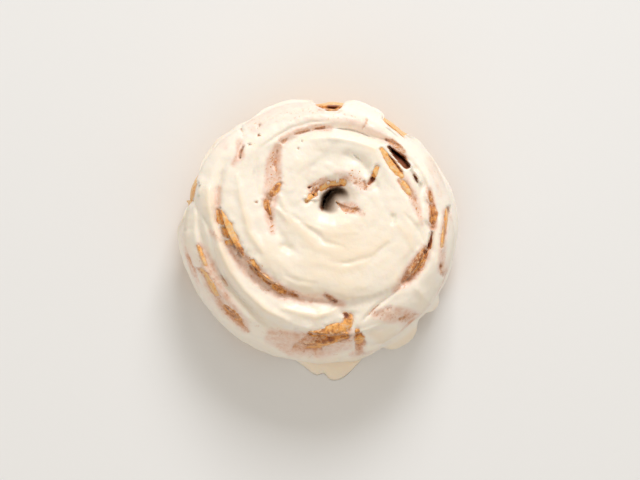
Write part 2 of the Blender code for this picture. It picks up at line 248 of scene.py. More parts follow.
# Pinkish strokes: thin icing that the crust tints
PINK_STROKES = (
    (2, ((278, 148, 5), (274, 162, 8), (274, 180, 9), (270, 200, 8), (270, 218, 5), (273, 232, 3))),
    (2, ((282, 141, 4), (296, 133, 4), (312, 128, 4), (330, 129, 3.4))),
    (2, ((344, 178, 3), (354, 180, 4), (364, 186, 5))),
    (1.6, ((312, 189, 5), (324, 181, 4))),
    (2, ((340, 204, 3), (352, 208, 6), (362, 214, 3))),
    (2, ((404, 180, 4), (412, 196, 5), (418, 212, 4), (421, 224, 2))),
    (2, ((428, 190, 4), (431, 206, 5), (432, 226, 5))),
    (2.4, ((424, 250, 6), (414, 268, 9), (402, 282, 7), (394, 290, 3))),
    (2.4, ((232, 246, 6), (246, 264, 9), (262, 279, 9), (282, 292, 8), (304, 298, 6), (326, 298, 6),
        (342, 304, 4))),
    (2.6, ((272, 334, 6), (292, 341, 10), (320, 342, 12), (346, 336, 10))),
    (2.4, ((376, 314, 5), (388, 314, 9), (404, 315, 8), (416, 314, 4))),
    (2.4, ((200, 246, 4), (208, 264, 8), (214, 284, 8), (228, 306, 8), (246, 326, 5))),
    (2, ((220, 188, 3), (218, 202, 3.6), (219, 212, 3))),
    (2, ((188, 248, 4), (192, 264, 5), (198, 280, 3))),
    (2, ((240, 142, 4), (241, 156, 5), (234, 164, 3))),
    (2, ((352, 350, 3), (374, 351, 4), (390, 348, 2))),
    (2, ((445, 212, 4), (442, 244, 4), (441, 270, 4))),
    (2, ((212, 232, 3), (220, 240, 3))),
)
# The same, only just tinted
FAINT_STROKES = (
    (3, ((256, 128, 7), (272, 116, 9), (300, 112, 9), (330, 116, 8), (352, 122, 8), (372, 131, 7),
        (390, 142, 6))),
    (2.4, ((336, 172, 3), (352, 177, 7), (364, 186, 8))),
    (2.4, ((426, 160, 3), (436, 178, 3), (440, 196, 3))),
    (2.4, ((228, 138, 3), (226, 148, 3))),
)
# Creases and ridges left by the spreader and by the turns below: (half width in mm, depth in mm, points as (x, y))
CREASES = (
    (0.9, 1.5, ((203, 214), (209, 226), (213, 243), (219, 268), (232, 287), (246, 303), (260, 319),
        (278, 334), (290, 340))),
    (0.45, 1.3, ((330, 129), (345, 130), (356, 132), (368, 137), (382, 143))),
    (0.7, 0.7, ((262, 148), (276, 138), (292, 129), (312, 123), (330, 122))),
    (0.5, 1, ((349, 152), (357, 158), (364, 165))),
    (0.8, 1, ((194, 196), (197, 208), (204, 222))),
    (0.9, 0.8, ((222, 172), (217, 192), (219, 210))),
    (1.1, 0.7, ((288, 212), (306, 226), (324, 241), (344, 247))),
    (1.2, 0.6, ((330, 263), (350, 263), (372, 255), (388, 243))),
    (1.2, 0.5, ((286, 276), (300, 281), (316, 283))),
    (0.6, 0.8, ((424, 164), (432, 176), (437, 190), (438, 206))),
    (1.4, 1.1, ((284, 246), (290, 249))),
    (1.2, 1, ((392, 217), (392, 222))),
    (0.6, 1, ((360, 324), (366, 316), (373, 308), (382, 301), (396, 290), (406, 280))),
    (0.6, 0.8, ((358, 322), (356.5, 332), (364, 350))),
    (0.8, 0.9, ((288, 350), (304, 356), (322, 362), (342, 363), (358, 357))),
    (0.6, 0.6, ((182, 230), (190, 228), (196, 229))),
    (0.8, 1, ((396, 346), (402, 336), (412, 328), (424, 318))),
    (0.8, 0.8, ((424, 318), (428, 306), (436, 296))),
    (0.6, 0.7, ((243, 146), (244, 134), (248, 124))),
    (1.2, 0.7, ((258, 160), (256, 180), (259, 200))),
    (1.2, 0.7, ((404, 214), (416, 228), (422, 240))),
    (0.7, 0.8, ((186, 232), (194, 246), (197, 262))),
)
RIDGES = (
    (1.6, 0.9, ((276, 208), (296, 226), (318, 248), (346, 256), (370, 252), (386, 240))),
    (1.3, 0.8, ((318, 262), (340, 268), (362, 264))),
    (1.2, 0.6, ((278, 190), (286, 210), (304, 232))),
    (1.8, 1, ((209, 190), (210, 206), (216, 226), (222, 250), (230, 272), (246, 292), (264, 308),
        (288, 320))),
    (1.2, 0.6, ((188, 216), (190, 240), (196, 252))),
    (1.4, 0.8, ((238, 176), (242, 200), (250, 232), (264, 252))),
    (1.3, 0.6, ((300, 140), (330, 138), (356, 142), (374, 150))),
    (1.2, 0.6, ((420, 150), (430, 168), (440, 190))),
    (1.8, 1, ((284, 308), (300, 312), (316, 316), (334, 310))),
    (2.2, 1.2, ((370, 334), (384, 336), (396, 330))),
    (1.4, 0.7, ((398, 226), (408, 236), (412, 250))),
    (1.2, 0.5, ((260, 124), (280, 112), (300, 108))),
    (1.2, 0.6, ((300, 222), (330, 234), (356, 232))),
    (2, 0.8, ((418, 290), (424, 300), (414, 312))),
    (0.7, 0.7, ((384, 146), (394, 158.5), (405, 171))),
)
# Crust: strokes of golden crust, of brown crust and of dark cinnamon, in the same units as the bare strokes
GOLD_STROKES = (
    (1, ((219, 211, 3.4), (224, 222, 5), (231, 236, 6), (231, 243, 4))),
    (1, ((381, 150, 2), (388, 160, 3), (396, 171, 4), (402, 178, 3))),
    (1, ((400, 182, 3), (409, 196, 3))),
    (1, ((306, 98, 3), (322, 101, 3), (347, 98, 3))),
    (1, ((376, 168, 3), (374, 175, 3))),
    (1, ((197, 174, 4), (190, 190, 4), (184, 207, 4))),
    (1, ((236, 124, 3), (257, 110, 3))),
    (1, ((379, 114, 4), (396, 125, 5), (416, 142, 4))),
    (1.2, ((199, 247, 3), (207, 266, 3))),
    (1.2, ((201, 269, 3), (217, 296, 3.4))),
    (1.2, ((446, 210, 3), (441, 248, 3))),
    (1, ((307, 201, 3), (319, 190, 3.6), (330, 184, 3), (344, 181, 3))),
)
BROWN_STROKES = (
    (2, ((426, 249, 3), (420, 258, 5), (412, 272, 4))),
    (1.6, ((238, 245, 2), (243, 255, 2))),
    (1.4, ((256, 270, 1.6), (262, 277, 1.6), (270, 284, 1.6))),
    (2, ((345, 312, 3), (349, 322, 3))),
    (2, ((300, 345, 3), (318, 341, 4), (334, 338, 3))),
    (1.6, ((267, 202, 3), (270, 214, 3))),
    (1.6, ((280, 186, 1.4), (275, 191, 2.4), (271, 194, 2))),
    (1.6, ((430, 192, 3), (432, 222, 4))),
    (1.6, ((224, 304, 3), (242, 324, 3))),
    (1, ((300, 190, 2), (313, 193, 1.6), (320, 188, 1.4))),
)
DARK_STROKES = (
    (0.6, ((389, 148, 1.4), (395, 154.5, 3), (401.5, 161, 4.2), (406, 166, 3.4))),
    (0.6, ((329, 107, 2), (334, 106.5, 2.8), (338, 105.5, 1.8))),
    (0.6, ((431.5, 232, 1.6), (428, 247, 1.8))),
    (0.8, ((426, 249, 1.4), (424, 252, 1.2))),
    (0.6, ((412, 173, 2), (417, 184, 2))),
    (0.6, ((372, 180, 2.6), (367, 186, 2))),
    (0.6, ((344, 314, 1.4), (348, 316, 1.4))),
    (0.5, ((389, 156.5, 0.6), (395, 164.5, 0.9), (401, 173, 0.9))),
    (0.6, ((324, 194, 1.6), (331, 188, 2), (341, 187, 1.6), (347, 189, 1))),
)
# Where loose flecks of cinnamon and crust lie: (how many, points)
FLECK_STROKES = (
    (26, ((336, 203, 3), (346, 208, 5), (358, 211, 4))),
    (22, ((350, 172, 3), (356, 180, 5), (366, 188, 4))),
    (20, ((275, 153, 3), (273, 166, 4), (274, 190, 5))),
    (16, ((267, 204, 3), (270, 222, 3), (274, 232, 2))),
    (22, ((388, 139, 3), (396, 148, 5), (404, 160, 3))),
    (20, ((246, 256, 4), (258, 270, 5), (270, 281, 4))),
    (10, ((290, 292, 3), (298, 296, 3))),
    (14, ((405, 186, 3), (414, 201, 2), (419, 218, 1.4))),
    (12, ((424, 246, 3), (414, 270, 3))),
    (14, ((312, 348, 4), (332, 332, 6), (348, 320, 3))),
    (8, ((255, 124, 3), (260, 138, 3), (250, 148, 2))),
    (6, ((310, 187, 3), (318, 184, 2))),
    (5, ((214, 318, 2), (217, 320, 1))),
)


def smooth(x, table):
    """Value at x of the smooth curve through a table of (x, value) pairs."""
    xs = np.array([row[0] for row in table], float)
    ys = np.array([row[1] for row in table], float)
    x = np.clip(np.asarray(x, float), xs[0], xs[-1])
    step = np.diff(xs)
    rise = np.diff(ys) / step
    slope = np.zeros(len(xs))
    same_way = rise[1:] * rise[:-1] > 0
    mean = 2 * rise[1:] * rise[:-1] / np.where(same_way, rise[1:] + rise[:-1], 1)
    slope[1:-1] = np.where(same_way, mean, 0)
    slope[0] = rise[0]
    slope[-1] = rise[-1]
    i = np.clip(np.searchsorted(xs, x, side="right") - 1, 0, len(xs) - 2)
    t = (x - xs[i]) / step[i]
    from_left = ys[i] * (1 + 2 * t) * (1 - t) ** 2 + slope[i] * step[i] * t * (1 - t) ** 2
    from_right = ys[i + 1] * t * t * (3 - 2 * t) - slope[i + 1] * step[i] * t * t * (1 - t)
    return from_left + from_right


def ramp(x, start, end):
    """0 before start, 1 after end, and an easy curve between."""
    t = np.clip((np.asarray(x, float) - start) / (end - start), 0, 1)
    return t * t * (3 - 2 * t)


def hump(x, middle, half):
    """1 at the middle, falling to 0 at half a length each side."""
    return 1 - ramp(abs(x - middle), 0, half)


def mix(a, b, share):
    return a + (b - a) * share


def lumps(x, y, z, size, seed):
    """Soft random relief from -1 to 1, with lumps about one size across."""
    cells = 32
    table = np.random.default_rng(seed).uniform(-1, 1, (cells, cells, cells))
    spots = [np.asarray(v, float) / size for v in (x, y, z)]
    low = [np.floor(v).astype(int) for v in spots]
    part = [ramp(v - f, 0, 1) for v, f in zip(spots, low)]
    total = 0.0
    for corner in np.ndindex(2, 2, 2):
        weight = 1.0
        for side, share in zip(corner, part):
            weight = weight * (share if side else 1 - share)
        total = total + weight * table[tuple((f + side) % cells for f, side in zip(low, corner))]
    return total


def from_photo(points):
    """Photograph pixels with a half width, as metres in the part's frame."""
    spots = np.array(points, float)
    spots[:, 0] -= PHOTO_MIDDLE[0]
    spots[:, 1] = PHOTO_MIDDLE[1] - spots[:, 1]
    return spots * PHOTO_PIXEL


def gap_to(x, y, points):
    """Distance to a stroke's edge, negative inside it."""
    spots = from_photo(points)
    nearest = np.full(np.shape(x), 1.0)
    for (ax, ay, aw), (bx, by, bw) in zip(spots, spots[1:] if len(spots) > 1 else spots):
        along_x, along_y = bx - ax, by - ay
        length = max(along_x ** 2 + along_y ** 2, 1e-12)
        t = np.clip(((x - ax) * along_x + (y - ay) * along_y) / length, 0, 1)
        away = np.hypot(x - ax - t * along_x, y - ay - t * along_y) - mix(aw, bw, t)
        nearest = np.minimum(nearest, away)
    return nearest


def inside(x, y, strokes, grow=0.0):
    """1 inside the strokes grown by a length, falling to 0 over each one's softness."""
    share = np.zeros(np.shape(x))
    for soft, points in strokes:
        half = 0.5 * soft * 0.001 + 0.4 * grow
        share = np.maximum(share, 1 - ramp(gap_to(x, y, points) - grow, -half, half))
    return share


def furrows(x, y, marks):
    """Depth in metres of rounded marks drawn along strokes, the long ones tapered at both ends."""
    depth = np.zeros(np.shape(x))
    for half, deep, points in marks:
        widths = [1] * len(points)
        if len(points) > 2:
            widths[0] = widths[-1] = -1
        stroke = [(*point, width) for point, width in zip(points, widths)]
        away = (gap_to(x, y, stroke) + PHOTO_PIXEL) / (half * 0.001)
        depth = np.maximum(depth, deep * 0.001 * np.exp(-np.maximum(away, 0) ** 2))
    return depth


def strip_edge(turn):
    return smooth(turn, STRIP_EDGE)


def crown(turn):
    return smooth(turn, CROWN)


def valley(turn):
    """Height of the dough's edge at the seam on the outer side of the strip."""
    seam = np.minimum(crown(turn), crown(turn + 360.0)) - VALLEY_DEPTH
    return np.where(turn >= RIM_START, crown(turn) - SHOULDER_DROP, seam)


def slot_half(turn, depth, width):
    """Half the width of the slot that the filling runs in, with depth from 0 at its top to 1 at its foot."""
    middle, half, wider = SPRUNG_SEAM
    return 0.5 * width + 0.5 * wider * hump(turn, middle, half) * (1 - depth)


def edges(turn, depth, width):
    """Inner edge, outer edge and inward bulge of the outer wall, as distances from the swirl's middle."""
    hole = smooth(turn, HOLE_TOP) * (1 - depth) + HOLE_FOOT * depth
    inner = np.where(turn <= 360.0, hole, strip_edge(turn - 360.0) + slot_half(turn - 360.0, depth, width))
    outer = strip_edge(turn) - np.where(turn >= RIM_START, 0, slot_half(turn, depth, width))
    share = ramp(turn, RIM_START, BULGE_FULL) * np.minimum(1, (outer - inner) / BULGE_WIDTH)
    return inner, outer, SIDE_BULGE * share


def shut(turn, u, x, y):
    """Share of the nearer seam's valley that the dough has closed: nearly all of it where it is bare."""
    seam = np.where(u >= 0, turn, turn - 360.0)
    bare = inside(x, y, BARE_STROKES[1:], 0.0020) * (1 - inside(x, y, DARK_STROKES))
    closed = np.maximum(smooth(seam, BAKED_SHUT), 0.92 * bare)
    return np.where((seam >= 0) & (seam < RIM_START), closed, 0)


def crown_height(turn, u, fill):
    """Height on the crown, with u from -1 at the inner edge to 1 at the outer, and a share of valley filled."""
    low = np.where(u >= 0, valley(turn), np.where(turn > 360.0, valley(turn - 360.0), crown(turn) - VALLEY_DEPTH))
    return crown(turn) - (crown(turn) - low) * np.abs(u) ** CROWN_POWER * (1 - fill)


def place(turn, r):
    """Plan position at a turn angle and a distance from the swirl's middle."""
    a = np.radians(180.0 - turn)
    return SWIRL_X + r * np.cos(a), SWIRL_Y + r * np.sin(a)


def grid_mesh(columns, rows):
    """A flat grid of quads, and each point's column and row."""
    bm = bmesh.new()
    bmesh.ops.create_grid(bm, x_segments=columns, y_segments=rows, size=1.0)
    at = np.array([vert.co[:2] for vert in bm.verts])
    column = np.rint((at[:, 0] + 1) * 0.5 * columns).astype(int)
    row = np.rint((at[:, 1] + 1) * 0.5 * rows).astype(int)
    return bm, column, row


def move_points(bm, spots):
    for vert, spot in zip(bm.verts, spots):
        vert.co = spot


def add_piece(context, name, bm, material, replaced):
    """Makes the finished mesh one piece that rides on the part and stands for its solid."""
    mesh = bpy.data.meshes.new(name)
    bm.to_mesh(mesh)
    bm.free()
    mesh.materials.append(material)
    mesh.shade_smooth()
    piece = bpy.data.objects.new(name, mesh)
    context.scene.collection.objects.link(piece)
    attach(piece, "root")
    if replaced:
        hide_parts(replaced)
    return piece


def paint(mesh, name, values):
    """Stores one number a point as an attribute for the material."""
    layer = mesh.attributes.new(name, "FLOAT", "POINT")
    layer.data.foreach_set("value", np.asarray(values, np.float32))


def numbers_of(mesh):
    """Each point's number in the grid that it came from."""
    numbers = np.zeros(len(mesh.vertices), np.int32)
    mesh.attributes["number"].data.foreach_get("value", numbers)
    mesh.attributes.remove(mesh.attributes["number"])
    return numbers


def number_points(bm):
    """Numbers the points, on a layer that later operators carry along. Goes before any point is kept."""
    layer = bm.verts.layers.int.new("number")
    for i, vert in enumerate(bm.verts):
        vert[layer] = i


def close_and_turn_out(bm):
    """Merges the seam and the poles, fills the open ends and turns the faces outward."""
    bmesh.ops.remove_doubles(bm, verts=bm.verts, dist=1e-7)
    ends = [edge for edge in bm.edges if edge.is_boundary]
    bmesh.ops.holes_fill(bm, edges=ends, sides=0)
    bmesh.ops.recalc_face_normals(bm, faces=bm.faces)


def linear(hex_colour):
    """An sRGB hex colour as linear red, green and blue."""
    parts = [int(hex_colour[i : i + 2], 16) / 255 for i in (1, 3, 5)]
    return [p / 12.92 if p <= 0.04045 else ((p + 0.055) / 1.055) ** 2.4 for p in parts]


def colour_property(name, description, hex_colour):
    return bpy.props.FloatVectorProperty(
        name=name, description=description, subtype="COLOR", size=3, min=0, max=1, default=linear(hex_colour)
    )


def length_property(name, description, metres):
    return bpy.props.FloatProperty(
        name=name, description=description, subtype="DISTANCE", unit="LENGTH", min=0, default=metres, precision=4
    )


class RollSizes(bpy.types.PropertyGroup):
    icing_depth: length_property("Icing Depth", "Depth of the icing on the crowns", 0.0018)
    icing_bead: length_property("Icing Bead", "Extra depth where a run of icing ends", 0.0009)
    film_depth: length_property("Film Depth", "Depth of icing where the crust shows through", 0.0005)
    filling_thick: length_property("Filling Thickness", "Thickness of the sheet of filling", 0.0012)
    crust_relief: length_property("Crust Relief", "Height of the crust's wrinkles", 0.00022)
    crust_puff: length_property("Crust Puff", "How far bare crust stands up into the icing", 0.0010)
    fleck_size: length_property("Fleck Size", "Size of the largest cinnamon flecks", 0.00042)


class RollColours(bpy.types.PropertyGroup):
    pale_crust: colour_property("Pale Crust", "Side of the dough", "#f3cf98")
    golden_crust: colour_property("Golden Crust", "Crust on the crowns", "#f8b462")
    brown_crust: colour_property("Brown Crust", "Crust stained with cinnamon", "#c48350")
    dark_crust: colour_property("Dark Crust", "Crust along the filling", "#935a43")
    glaze_drops: colour_property("Glaze Drops", "Drops of icing caught on bare crust", "#edc6a0")
    filling: colour_property("Filling", "Cinnamon paste", "#562a1b")
    filling_grain: colour_property("Filling Grain", "Sugar and cinnamon grains", "#955a38")
    icing: colour_property("Icing", "Thick icing", "#fcf2e6")
    icing_cream: colour_property("Creamy Icing", "Deep pools of icing", "#faead6")
    icing_thin: colour_property("Thin Icing", "Icing that the crust tints", "#f5e1d5")
    icing_film: colour_property("Icing Film", "Icing that the crust shows through", "#dca27c")
    # Painted shade, laid on the icing's slope into the hole
    dark_shade_paint: colour_property("Hole Glaze", "Milky glaze that runs down into the middle", "#78624f")
    floor: colour_property("Floor", "Plain floor", "#e8eaed")


# Kinds of node that the materials use
ATTRIBUTE = "ShaderNodeAttribute"
BUMP = "ShaderNodeBump"
COORDINATES = "ShaderNodeTexCoord"
MATH = "ShaderNodeMath"
MIX = "ShaderNodeMix"
NOISE = "ShaderNodeTexNoise"
RAMP = "ShaderNodeValToRGB"
RANGE = "ShaderNodeMapRange"
# Sockets of a Mix node that mixes colours
UNDER, OVER, MIXED = 6, 7, 2


def add_node(tree, kind, settings=None, links=None, stops=()):
    """Adds a node, sets its properties and inputs, links sockets to its inputs, and gives its outputs.

    Inputs go by name or number. Stops are a colour ramp's (position, colour) pairs.
    """
    node = tree.nodes.new(kind)
    for key, value in (settings or {}).items():
        if isinstance(key, int) or key in node.inputs:
            node.inputs[key].default_value = value
        else:
            setattr(node, key, value)
    for key, socket in (links or {}).items():
        tree.links.new(socket, node.inputs[key])
    if stops:
        elements = node.color_ramp.elements
        elements[0].position, elements[1].position = stops[0][0], stops[-1][0]
        for position, _ in stops[1:-1]:
            elements.new(position)
        for element, (_, colour) in zip(elements, stops):
            element.color = (*colour, 1.0)
    return node.outputs


def new_material(name, constants):
    """A material, its node tree and its shader, with constants on the shader's own sockets."""
    material = bpy.data.materials.new(name)
    material.use_nodes = True
    tree = material.node_tree
    shader = tree.nodes["Principled BSDF"]
    for socket, value in constants.items():
        shader.inputs[socket].default_value = value
    return material, tree, shader


# Baked dough lets a little light in, more red than blue
CRUST_SHADER = {
    "Subsurface Weight": 0.12,
    "Subsurface Radius": (1.0, 0.5, 0.25),
    "Subsurface Scale": 0.0008,
    "IOR": 1.45,
}
# Icing is butterfat, sugar and milk: light spreads in it, and shadows turn warm
ICING_SHADER = {
    "Subsurface Weight": 0.30,
    "Subsurface Radius": (1.0, 0.75, 0.5),
    "Subsurface Scale": 0.0012,
    "IOR": 1.45,
}
# Baked sugar syrup
PASTE_SHADER = {"IOR": 1.48}


def baked_crust(colours):
    """Baked wheat dough, brushed with butter: golden where it browned, brown by the filling, softly shiny."""
    material, tree, shader = new_material("baked_dough_crust", CRUST_SHADER)
    spot = {"Vector": add_node(tree, COORDINATES)["Object"]}
    # Blotches of 2.4 mm and crumbs of 1 mm over how far each place is baked
    bake = add_node(tree, ATTRIBUTE, {"attribute_name": "bake"})["Fac"]
    blotch = add_node(tree, NOISE, {"Scale": 1000 / 2.4, "Detail": 3.0}, spot)["Fac"]
    crumb = add_node(tree, NOISE, {"Scale": 1000 / 1.0, "Detail": 4.0, "Roughness": 0.65}, spot)["Fac"]
    both = add_node(tree, MATH, {"operation": "ADD"}, {0: blotch, 1: crumb})[0]
    uneven = add_node(tree, MATH, {"operation": "MULTIPLY_ADD", 1: 1.1, 2: -1.1}, {0: both})[0]
    browned = add_node(tree, MATH, {"operation": "ADD"}, {0: bake, 1: uneven})[0]
    stops = (
        (0.0, colours.pale_crust),
        (0.32, colours.golden_crust),
        (0.62, colours.brown_crust),
        (0.95, colours.dark_crust),
    )
    crust = add_node(tree, RAMP, links={"Fac": browned}, stops=stops)["Color"]
    # Drops of icing of about 2 mm, more of them near the icing
    glaze = add_node(tree, ATTRIBUTE, {"attribute_name": "glaze"})["Fac"]
    drop = add_node(tree, NOISE, {"Scale": 1000 / 1.8, "Detail": 4.0, "Roughness": 0.65}, spot)["Fac"]
    drops = add_node(tree, MATH, {"operation": "MULTIPLY_ADD", 1: 0.16}, {0: glaze, 2: drop})[0]
    dots = add_node(tree, RANGE, {"From Min": 0.61, "From Max": 0.72}, {"Value": drops})["Result"]
    over = {"data_type": "RGBA", OVER: (*colours.glaze_drops, 1.0)}
    glazed = add_node(tree, MIX, over, {0: dots, UNDER: crust})[MIXED]
    tree.links.new(glazed, shader.inputs["Base Color"])
    # Butter shines in patches of 1.2 mm
    patch = add_node(tree, NOISE, {"Scale": 1000 / 1.2, "Detail": 2.0}, spot)["Fac"]
    rough = add_node(tree, RANGE, {"To Min": 0.26, "To Max": 0.58}, {"Value": patch})["Result"]
    tree.links.new(rough, shader.inputs["Roughness"])
    # Pores are 0.2 to 0.5 mm, drawn at 1 mm so that they show
    pores = add_node(tree, NOISE, {"Scale": 1000 / 1.0, "Detail": 4.0, "Roughness": 0.6}, spot)["Fac"]
    bump = add_node(tree, BUMP, {"Strength": 0.8, "Distance": 0.0006}, {"Height": pores})["Normal"]
    tree.links.new(bump, shader.inputs["Normal"])
    return material


def cinnamon_paste(colours):
    """Cinnamon, butter and brown sugar paste, baked: dark, moist and grainy, with small bright glints."""
    material, tree, shader = new_material("cinnamon_sugar_paste", PASTE_SHADER)
    spot = {"Vector": add_node(tree, COORDINATES)["Object"]}
    # Sugar grains are 0.3 to 0.5 mm, drawn at 0.7 mm so that they show
    grain = add_node(tree, NOISE, {"Scale": 1000 / 0.7, "Detail": 4.0, "Roughness": 0.65}, spot)["Fac"]
    moist_stops = ((0.40, colours.filling), (0.75, colours.filling_grain))
    moist = add_node(tree, RAMP, links={"Fac": grain}, stops=moist_stops)["Color"]
    # Tone is 1 where the paste is deep and dark, 0 where it baked dry and below 0 where it baked golden
    tone = add_node(tree, ATTRIBUTE, {"attribute_name": "tone"})["Fac"]
    baked = add_node(tree, MATH, {"operation": "MULTIPLY_ADD", 1: -0.4}, {0: tone, 2: grain})[0]
    dry_stops = ((0.38, colours.brown_crust), (0.62, colours.golden_crust))
    dry = add_node(tree, RAMP, links={"Fac": baked}, stops=dry_stops)["Color"]
    wet = add_node(tree, MATH, {"operation": "MAXIMUM", 1: 0.0}, {0: tone})[0]
    mixed = add_node(tree, MIX, {"data_type": "RGBA"}, {0: wet, UNDER: dry, OVER: moist})[MIXED]
    tree.links.new(mixed, shader.inputs["Base Color"])
    rough = add_node(tree, RANGE, {"To Min": 0.18, "To Max": 0.55}, {"Value": grain})["Result"]
    tree.links.new(rough, shader.inputs["Roughness"])
    bump = add_node(tree, BUMP, {"Strength": 0.8, "Distance": 0.0003}, {"Height": grain})["Normal"]
    tree.links.new(bump, shader.inputs["Normal"])
    return material


def cream_icing(colours):
    """Cream cheese icing spread warm: opaque and creamy where deep, a tan film where thin, satin all over."""
    material, tree, shader = new_material("cream_cheese_icing", ICING_SHADER)
    spot = {"Vector": add_node(tree, COORDINATES)["Object"]}
    # Cover is 1 where the icing hides the crust and 0 where it is a film, in patches of 2.6 mm
    cover = add_node(tree, ATTRIBUTE, {"attribute_name": "cover"})["Fac"]
    clear = add_node(tree, MATH, {"operation": "SUBTRACT", 0: 1.0}, {1: cover})[0]
    patch = add_node(tree, NOISE, {"Scale": 1000 / 2.6, "Detail": 4.0, "Roughness": 0.6}, spot)["Fac"]
    patchy = add_node(tree, MATH, {"operation": "MULTIPLY_ADD", 1: 1.6, 2: -0.8}, {0: patch})[0]
    seen = add_node(tree, MATH, {"operation": "MULTIPLY_ADD"}, {0: patchy, 1: clear, 2: cover})[0]
    tan = [mix(a, b, 0.6) for a, b in zip(colours.icing_film, colours.icing_thin)]
    stops = ((0.10, colours.icing_film), (0.38, tan), (0.62, colours.icing_thin), (0.95, colours.icing))
    film = add_node(tree, RAMP, links={"Fac": seen}, stops=stops)["Color"]
    # Specks of cinnamon of about 1 mm, in clusters of 6 mm, where the icing is thin
    speck = add_node(tree, NOISE, {"Scale": 1000 / 1.2, "Detail": 1.0}, spot)["Fac"]
    specks = add_node(tree, RANGE, {"From Min": 0.60, "From Max": 0.70}, {"Value": speck})["Result"]
    crowd = add_node(tree, NOISE, {"Scale": 1000 / 6.0, "Detail": 1.0}, spot)["Fac"]
    crowds = add_node(tree, RANGE, {"From Min": 0.45, "From Max": 0.60}, {"Value": crowd})["Result"]
    clusters = add_node(tree, MATH, {"operation": "MULTIPLY"}, {0: specks, 1: crowds})[0]
    shown = add_node(tree, MATH, {"operation": "MULTIPLY"}, {0: clusters, 1: clear})[0]
    over = {"data_type": "RGBA", OVER: (*colours.brown_crust, 1.0)}
    speckled = add_node(tree, MIX, over, {0: shown, UNDER: film})[MIXED]
    # Crumbs of crust of about 2 mm that show through the stained strokes
    stain = add_node(tree, ATTRIBUTE, {"attribute_name": "stain"})["Fac"]
    crumb = add_node(tree, NOISE, {"Scale": 1000 / 2.2, "Detail": 4.0, "Roughness": 0.65}, spot)["Fac"]
    sharp = add_node(tree, MATH, {"operation": "MULTIPLY_ADD", 1: 2.2}, {0: crumb, 2: stain})[0]
    limits = {"From Min": 0.45 + 1.1, "From Max": 1.25 + 1.1}
    share = add_node(tree, RANGE, limits, {"Value": sharp})["Result"]
    stained = add_node(tree, MATH, {"operation": "GREATER_THAN", 1: 0.02}, {0: stain})[0]
    crumbs = add_node(tree, MATH, {"operation": "MULTIPLY"}, {0: share, 1: stained})[0]
    fine = add_node(tree, NOISE, {"Scale": 1000 / 0.8, "Detail": 3.0, "Roughness": 0.6}, spot)["Fac"]
    shades = ((0.36, colours.brown_crust), (0.52, colours.icing_film), (0.66, colours.glaze_drops))
    shade = add_node(tree, RAMP, links={"Fac": fine}, stops=shades)["Color"]
    mottled = add_node(tree, MIX, {"data_type": "RGBA"}, {0: crumbs, UNDER: speckled, OVER: shade})[MIXED]
    # Deep icing is creamier, in clouds of 9 mm
    cream = add_node(tree, ATTRIBUTE, {"attribute_name": "cream"})["Fac"]
    cloud = add_node(tree, NOISE, {"Scale": 1000 / 9.0, "Detail": 2.0}, spot)["Fac"]
    cloudy = add_node(tree, MATH, {"operation": "MULTIPLY_ADD", 1: 0.5, 2: -0.25}, {0: cloud})[0]
    soft = add_node(tree, MATH, {"operation": "ADD"}, {0: cream, 1: cloudy})[0]
    capped = add_node(tree, MATH, {"operation": "MINIMUM", 1: 1.0}, {0: soft})[0]
    covered = add_node(tree, MATH, {"operation": "MULTIPLY"}, {0: capped, 1: cover})[0]
    deep = add_node(tree, MATH, {"operation": "MAXIMUM", 1: 0.0}, {0: covered})[0]
    over = {"data_type": "RGBA", OVER: (*colours.icing_cream, 1.0)}
    creamy = add_node(tree, MIX, over, {0: deep, UNDER: mottled})[MIXED]
    # Painted shade: a dark colour laid on the icing's slope into the hole, darkest next to the hole
    painted_shade = add_node(tree, ATTRIBUTE, {"attribute_name": "painted_shade"})["Fac"]
    over = {"data_type": "RGBA", OVER: (*colours.dark_shade_paint, 1.0)}
    shaded_colour = add_node(tree, MIX, over, {0: painted_shade, UNDER: creamy})[MIXED]
    tree.links.new(shaded_colour, shader.inputs["Base Color"])
    wide = add_node(tree, NOISE, {"Scale": 1000 / 3.0, "Detail": 2.0}, spot)["Fac"]
    rough = add_node(tree, RANGE, {"To Min": 0.24, "To Max": 0.40}, {"Value": wide})["Result"]
    tree.links.new(rough, shader.inputs["Roughness"])
    # Ripples of 2.6 mm, with a finer grain where crumbs lie just under the film
    ripple = add_node(tree, NOISE, {"Scale": 1000 / 2.6, "Detail": 2.0}, spot)["Fac"]
    grain = add_node(tree, NOISE, {"Scale": 1000 / 0.8, "Detail": 3.0}, spot)["Fac"]
    height = add_node(tree, MATH, {"operation": "MULTIPLY_ADD"}, {0: grain, 1: clear, 2: ripple})[0]
    bump = add_node(tree, BUMP, {"Strength": 0.45, "Distance": 0.0005}, {"Height": height})["Normal"]
    tree.links.new(bump, shader.inputs["Normal"])
    return material


def plain_floor(colours):
    """Matt painted board: pale and even, with a faint unevenness of 50 mm in its shine."""
    material, tree, shader = new_material("matt_painted_board", {"Base Color": (*colours.floor, 1.0)})
    spot = {"Vector": add_node(tree, COORDINATES)["Object"]}
    cloud = add_node(tree, NOISE, {"Scale": 1000 / 50.0, "Detail": 2.0}, spot)["Fac"]
    rough = add_node(tree, RANGE, {"To Min": 0.7, "To Max": 0.8}, {"Value": cloud})["Result"]
    tree.links.new(rough, shader.inputs["Roughness"])
    return material


# Points round the dough's section: across the crown, down the wall, under, and up the inner wall
CROWN_CELLS = 30
WALL_CELLS = 9
FLOOR_CELLS = 3
DOUGH_ROWS = 1150


